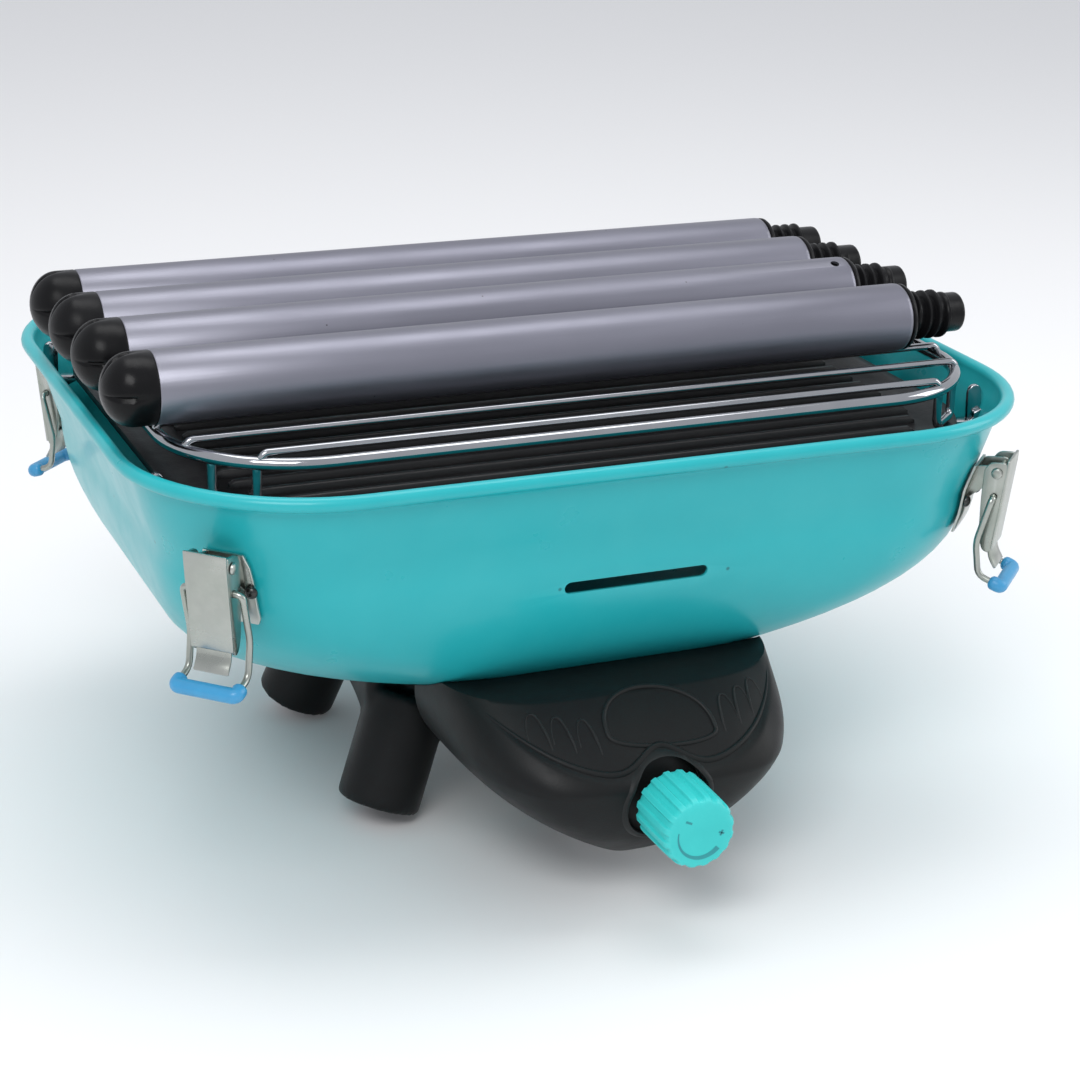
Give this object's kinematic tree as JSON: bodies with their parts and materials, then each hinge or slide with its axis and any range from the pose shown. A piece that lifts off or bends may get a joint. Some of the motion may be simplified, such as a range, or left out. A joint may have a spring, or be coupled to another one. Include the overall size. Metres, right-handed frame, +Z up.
{
  "type": "portable gas grill",
  "caption": "Compact outdoor gas grill packed for carrying: rounded turquoise bowl with corner toggle latches, wire rack, griddle, loose screw-in legs and a front control knob.",
  "frame": {"origin": "bottom centre of the bounding box; the leg sockets' lowest edges stand on z = 0", "axes": "+X along the front of the grill, -Y towards the user (knob side), +Z up"},
  "size_m": [0.4337, 0.4051, 0.2475],
  "materials": {
    "enamel": "satin baked enamel",
    "black_plastic": "fine moulded grain",
    "zinc": "dull zinc plate",
    "chrome": "bright plated wire",
    "tube": "satin anodised, brushed lengthwise",
    "griddle_coat": "non-stick coating",
    "sleeve": "dipped plastic",
    "knob_plastic": "moulded plastic",
    "brass": "plain brass"
  },
  "bodies": {
    "base": {"bowl": "enamel", "chassis_bolt_fl": "zinc", "chassis_bolt_fr": "zinc", "chassis_bolt_bl": "zinc", "chassis_bolt_br": "zinc", "chassis": "black_plastic", "control_housing": "black_plastic", "valve_body": "brass", "gas_tube": "brass", "burner_base": "zinc", "burner_cap": "griddle_coat", "griddle_support_fl": "chrome", "griddle_support_fr": "chrome", "griddle_support_bl": "chrome", "griddle_support_br": "chrome", "latch_fl_base": "zinc", "latch_fl_rivet_a": "zinc", "latch_fl_rivet_b": "zinc", "latch_fr_base": "zinc", "latch_fr_rivet_a": "zinc", "latch_fr_rivet_b": "zinc", "latch_bl_base": "zinc", "latch_bl_rivet_a": "zinc", "latch_bl_rivet_b": "zinc", "latch_br_base": "zinc", "latch_br_rivet_a": "zinc", "latch_br_rivet_b": "zinc"},
    "griddle": {"griddle": "griddle_coat"},
    "rack": {"rack": "chrome"},
    "leg_1": {"leg_1_tube": "tube", "leg_1_foot_cap": "black_plastic", "leg_1_plug": "black_plastic"},
    "leg_2": {"leg_2_tube": "tube", "leg_2_foot_cap": "black_plastic", "leg_2_plug": "black_plastic"},
    "leg_3": {"leg_3_tube": "tube", "leg_3_foot_cap": "black_plastic", "leg_3_plug": "black_plastic"},
    "leg_4": {"leg_4_tube": "tube", "leg_4_foot_cap": "black_plastic", "leg_4_plug": "black_plastic"},
    "knob": {"knob": "knob_plastic", "valve_stem": "brass"},
    "latch_fl_lever_body": {"latch_fl_lever": "zinc", "latch_fl_pin": "zinc"},
    "latch_fl_bail_body": {"latch_fl_bail": "zinc", "latch_fl_sleeve": "sleeve"},
    "latch_fr_lever_body": {"latch_fr_lever": "zinc", "latch_fr_pin": "zinc"},
    "latch_fr_bail_body": {"latch_fr_bail": "zinc", "latch_fr_sleeve": "sleeve"},
    "latch_bl_lever_body": {"latch_bl_lever": "zinc", "latch_bl_pin": "zinc"},
    "latch_bl_bail_body": {"latch_bl_bail": "zinc", "latch_bl_sleeve": "sleeve"},
    "latch_br_lever_body": {"latch_br_lever": "zinc", "latch_br_pin": "zinc"},
    "latch_br_bail_body": {"latch_br_bail": "zinc", "latch_br_sleeve": "sleeve"}
  },
  "joints": [
    {"name": "griddle_lift", "type": "slide", "parent": "base", "child": "griddle", "axis": [0, 0, 1], "range_m": [0, 0.12]},
    {"name": "rack_lift", "type": "slide", "parent": "griddle", "child": "rack", "axis": [0, 0, 1], "range_m": [0, 0.15]},
    {"name": "leg_1_lift", "type": "slide", "parent": "rack", "child": "leg_1", "axis": [0, 0, 1], "range_m": [0, 0.2]},
    {"name": "leg_2_lift", "type": "slide", "parent": "rack", "child": "leg_2", "axis": [0, 0, 1], "range_m": [0, 0.2]},
    {"name": "leg_3_lift", "type": "slide", "parent": "rack", "child": "leg_3", "axis": [0, 0, 1], "range_m": [0, 0.2]},
    {"name": "leg_4_lift", "type": "slide", "parent": "rack", "child": "leg_4", "axis": [0, 0, 1], "range_m": [0, 0.2]},
    {"name": "knob_turn", "type": "hinge", "parent": "base", "child": "knob", "pos_m": [0.0014, -0.18785, 0.055], "axis": [0, -1, 0], "range_deg": [-240, 0]},
    {"name": "latch_fl_open", "type": "hinge", "parent": "base", "child": "latch_fl_lever_body", "pos_m": [-0.1879, -0.12215, 0.173], "axis": [-0.7071, 0.7071, 0], "range_deg": [0, 85]},
    {"name": "latch_fl_bail_swing", "type": "hinge", "parent": "latch_fl_lever_body", "child": "latch_fl_bail_body", "pos_m": [-0.18748, -0.12173, 0.1615], "axis": [0.7071, -0.7071, 0], "range_deg": [-155, 0]},
    {"name": "latch_fr_open", "type": "hinge", "parent": "base", "child": "latch_fr_lever_body", "pos_m": [0.1907, -0.12215, 0.173], "axis": [-0.7071, -0.7071, 0], "range_deg": [0, 85]},
    {"name": "latch_fr_bail_swing", "type": "hinge", "parent": "latch_fr_lever_body", "child": "latch_fr_bail_body", "pos_m": [0.19028, -0.12173, 0.1615], "axis": [0.7071, 0.7071, 0], "range_deg": [-155, 0]},
    {"name": "latch_bl_open", "type": "hinge", "parent": "base", "child": "latch_bl_lever_body", "pos_m": [-0.1879, 0.17645, 0.173], "axis": [0.7071, 0.7071, 0], "range_deg": [0, 85]},
    {"name": "latch_bl_bail_swing", "type": "hinge", "parent": "latch_bl_lever_body", "child": "latch_bl_bail_body", "pos_m": [-0.18748, 0.17603, 0.1615], "axis": [-0.7071, -0.7071, 0], "range_deg": [-155, 0]},
    {"name": "latch_br_open", "type": "hinge", "parent": "base", "child": "latch_br_lever_body", "pos_m": [0.1907, 0.17645, 0.173], "axis": [0.7071, -0.7071, 0], "range_deg": [0, 85]},
    {"name": "latch_br_bail_swing", "type": "hinge", "parent": "latch_br_lever_body", "child": "latch_br_bail_body", "pos_m": [0.19028, 0.17603, 0.1615], "axis": [-0.7071, 0.7071, 0], "range_deg": [-155, 0]}
  ]
}
